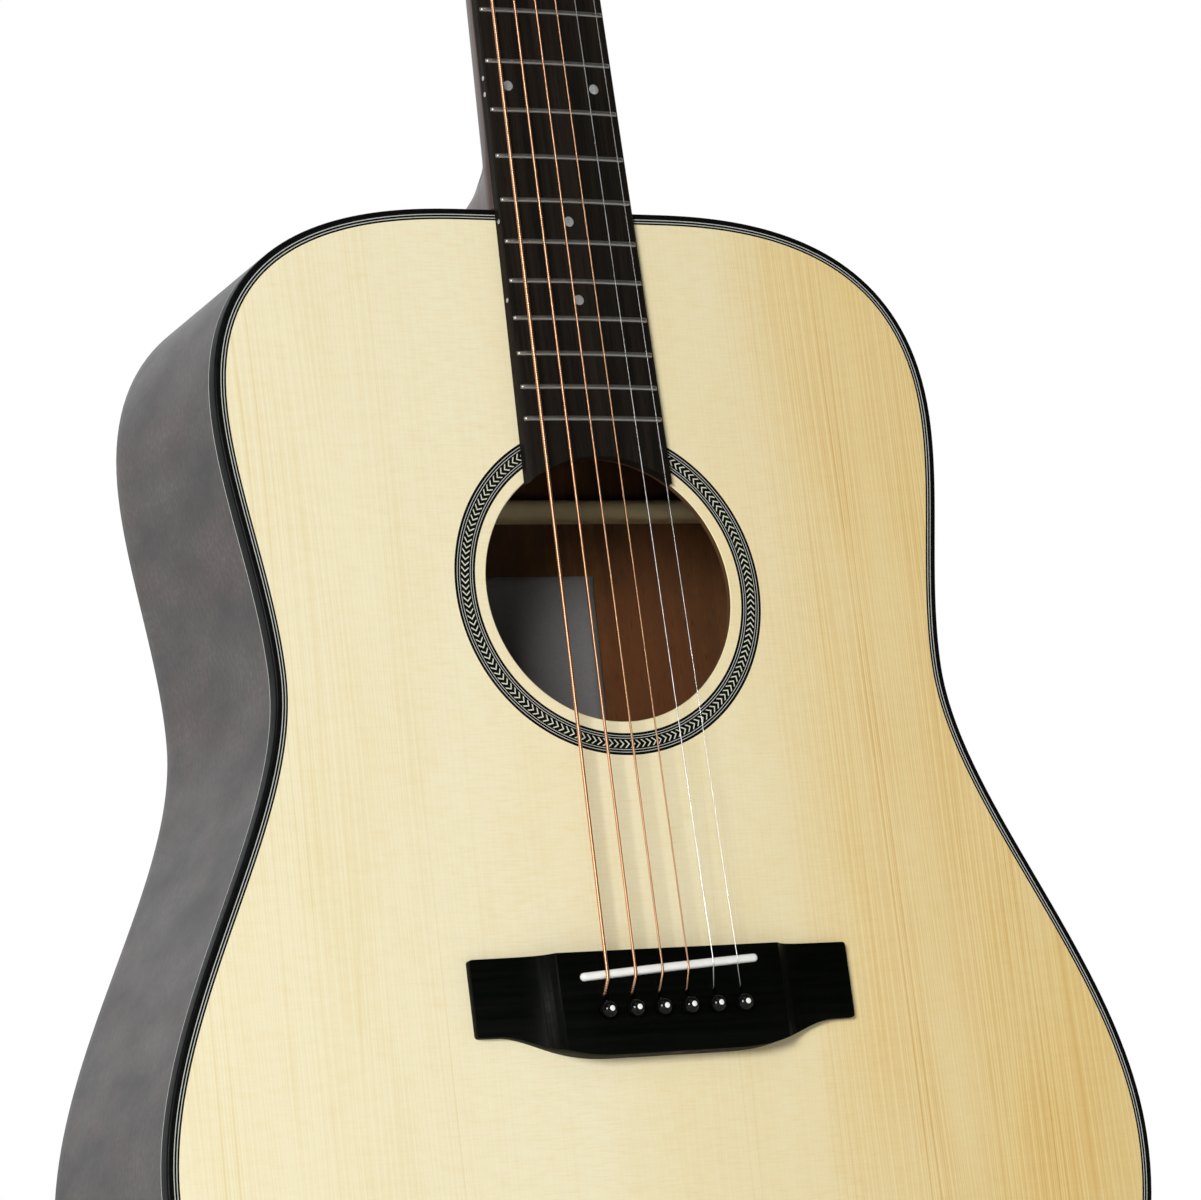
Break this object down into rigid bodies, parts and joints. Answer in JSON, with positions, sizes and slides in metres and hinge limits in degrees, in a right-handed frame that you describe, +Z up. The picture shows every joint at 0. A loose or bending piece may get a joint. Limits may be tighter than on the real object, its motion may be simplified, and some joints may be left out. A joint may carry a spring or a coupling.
{
  "type": "acoustic guitar",
  "caption": "Steel-string acoustic guitar with a broad square-shouldered body, spruce top, dark sides, round sound hole, belly bridge with pull-out pins and geared tuners.",
  "frame": {"origin": "centre of the strap button's outer face, at the tail end of the body", "axes": "+Z runs up the neck, the soundboard faces -Y, +X is the treble side"},
  "size_m": [0.395, 0.1395, 1.0586],
  "materials": {
    "spruce_top": "satin pale spruce with fine straight grain",
    "spruce_brace": "bare sanded spruce",
    "mahogany_back": "satin mahogany",
    "mahogany_side": "satin dark mahogany",
    "mahogany_inner": "bare mahogany",
    "mahogany_neck": "satin dark mahogany",
    "dark_rosewood": "oiled, close grained",
    "black_hardwood": "satin black",
    "black_binding": "satin black",
    "black_pin": "polished black",
    "black_button": "polished black",
    "purfling": "thin black and white lines",
    "rosette": "pale chevrons on black between thin rings",
    "label_paper": "matt grey paper, blank",
    "bone": "polished bone",
    "fret_nickel": "polished nickel silver",
    "truss_steel": "plain steel",
    "bronze_string": "wound bronze",
    "plain_steel_string": "drawn steel",
    "tuner_chrome": "polished"
  },
  "bodies": {
    "guitar": {"soundboard": "spruce_top", "back_plate": "mahogany_back", "side_bass": "mahogany_side", "side_treble": "mahogany_side", "top_lining_bass": "mahogany_inner", "top_lining_treble": "mahogany_inner", "back_lining_bass": "mahogany_inner", "back_lining_treble": "mahogany_inner", "neck_block": "mahogany_inner", "tail_block": "mahogany_inner", "bridge_plate": "mahogany_inner", "x_brace_bass": "spruce_brace", "x_brace_treble": "spruce_brace", "upper_transverse_brace": "spruce_brace", "tone_bar_upper": "spruce_brace", "tone_bar_lower": "spruce_brace", "back_brace_1": "spruce_brace", "back_brace_2": "spruce_brace", "back_brace_3": "spruce_brace", "back_brace_4": "spruce_brace", "top_binding": "black_binding", "back_binding": "mahogany_side", "top_purfling": "purfling", "rosette": "rosette", "paper_label": "label_paper", "bridge": "black_hardwood", "saddle": "bone", "strap_button": "black_button", "neck": "mahogany_neck", "truss_rod": "truss_steel", "fingerboard": "dark_rosewood", "frets": "fret_nickel", "nut": "bone", "heel_cap": "black_binding", "tuner_plate_bass": "tuner_chrome", "tuner_plate_treble": "tuner_chrome", "string_1": "plain_steel_string", "string_2": "plain_steel_string", "string_3": "bronze_string", "string_4": "bronze_string", "string_5": "bronze_string", "string_6": "bronze_string"},
    "bridge_pin_1": {"bridge_pin_1": "black_pin"},
    "bridge_pin_2": {"bridge_pin_2": "black_pin"},
    "bridge_pin_3": {"bridge_pin_3": "black_pin"},
    "bridge_pin_4": {"bridge_pin_4": "black_pin"},
    "bridge_pin_5": {"bridge_pin_5": "black_pin"},
    "bridge_pin_6": {"bridge_pin_6": "black_pin"},
    "string_post_1": {"string_post_1": "tuner_chrome"},
    "string_post_2": {"string_post_2": "tuner_chrome"},
    "string_post_3": {"string_post_3": "tuner_chrome"},
    "string_post_4": {"string_post_4": "tuner_chrome"},
    "string_post_5": {"string_post_5": "tuner_chrome"},
    "string_post_6": {"string_post_6": "tuner_chrome"},
    "tuner_button_1": {"tuner_button_1": "tuner_chrome"},
    "tuner_button_2": {"tuner_button_2": "tuner_chrome"},
    "tuner_button_3": {"tuner_button_3": "tuner_chrome"},
    "tuner_button_4": {"tuner_button_4": "tuner_chrome"},
    "tuner_button_5": {"tuner_button_5": "tuner_chrome"},
    "tuner_button_6": {"tuner_button_6": "tuner_chrome"}
  },
  "joints": [
    {"name": "bridge_pin_1_pull", "type": "slide", "parent": "guitar", "child": "bridge_pin_1", "axis": [0, -1, 0], "range_m": [0, 0.03]},
    {"name": "bridge_pin_2_pull", "type": "slide", "parent": "guitar", "child": "bridge_pin_2", "axis": [0, -1, 0], "range_m": [0, 0.03]},
    {"name": "bridge_pin_3_pull", "type": "slide", "parent": "guitar", "child": "bridge_pin_3", "axis": [0, -1, 0], "range_m": [0, 0.03]},
    {"name": "bridge_pin_4_pull", "type": "slide", "parent": "guitar", "child": "bridge_pin_4", "axis": [0, -1, 0], "range_m": [0, 0.03]},
    {"name": "bridge_pin_5_pull", "type": "slide", "parent": "guitar", "child": "bridge_pin_5", "axis": [0, -1, 0], "range_m": [0, 0.03]},
    {"name": "bridge_pin_6_pull", "type": "slide", "parent": "guitar", "child": "bridge_pin_6", "axis": [0, -1, 0], "range_m": [0, 0.03]},
    {"name": "tuner_button_1_turn", "type": "hinge", "parent": "guitar", "child": "tuner_button_1", "pos_m": [0.05, -0.02907, 0.92828], "axis": [1, 0, 0], "continuous": true},
    {"name": "string_post_1_turn", "type": "hinge", "parent": "guitar", "child": "string_post_1", "pos_m": [0.025, -0.05184, 0.92375], "axis": [0, -0.9703, 0.2419], "continuous": true},
    {"name": "tuner_button_2_turn", "type": "hinge", "parent": "guitar", "child": "tuner_button_2", "pos_m": [0.05, -0.01891, 0.96903], "axis": [1, 0, 0], "continuous": true},
    {"name": "string_post_2_turn", "type": "hinge", "parent": "guitar", "child": "string_post_2", "pos_m": [0.024, -0.04168, 0.9645], "axis": [0, -0.9703, 0.2419], "continuous": true},
    {"name": "tuner_button_3_turn", "type": "hinge", "parent": "guitar", "child": "tuner_button_3", "pos_m": [0.05, -0.00875, 1.00978], "axis": [1, 0, 0], "continuous": true},
    {"name": "string_post_3_turn", "type": "hinge", "parent": "guitar", "child": "string_post_3", "pos_m": [0.023, -0.03152, 1.00526], "axis": [0, -0.9703, 0.2419], "continuous": true},
    {"name": "tuner_button_4_turn", "type": "hinge", "parent": "guitar", "child": "tuner_button_4", "pos_m": [-0.05, -0.00875, 1.00978], "axis": [1, 0, 0], "continuous": true},
    {"name": "string_post_4_turn", "type": "hinge", "parent": "guitar", "child": "string_post_4", "pos_m": [-0.023, -0.03152, 1.00526], "axis": [0, -0.9703, 0.2419], "continuous": true},
    {"name": "tuner_button_5_turn", "type": "hinge", "parent": "guitar", "child": "tuner_button_5", "pos_m": [-0.05, -0.01891, 0.96903], "axis": [1, 0, 0], "continuous": true},
    {"name": "string_post_5_turn", "type": "hinge", "parent": "guitar", "child": "string_post_5", "pos_m": [-0.024, -0.04168, 0.9645], "axis": [0, -0.9703, 0.2419], "continuous": true},
    {"name": "tuner_button_6_turn", "type": "hinge", "parent": "guitar", "child": "tuner_button_6", "pos_m": [-0.05, -0.02907, 0.92828], "axis": [1, 0, 0], "continuous": true},
    {"name": "string_post_6_turn", "type": "hinge", "parent": "guitar", "child": "string_post_6", "pos_m": [-0.025, -0.05184, 0.92375], "axis": [0, -0.9703, 0.2419], "continuous": true}
  ],
  "couplings": [
    {"joint": "string_post_1_turn", "follows": "tuner_button_1_turn", "ratio": 0.066667},
    {"joint": "string_post_2_turn", "follows": "tuner_button_2_turn", "ratio": 0.066667},
    {"joint": "string_post_3_turn", "follows": "tuner_button_3_turn", "ratio": 0.066667},
    {"joint": "string_post_4_turn", "follows": "tuner_button_4_turn", "ratio": 0.066667},
    {"joint": "string_post_5_turn", "follows": "tuner_button_5_turn", "ratio": 0.066667},
    {"joint": "string_post_6_turn", "follows": "tuner_button_6_turn", "ratio": 0.066667}
  ]
}
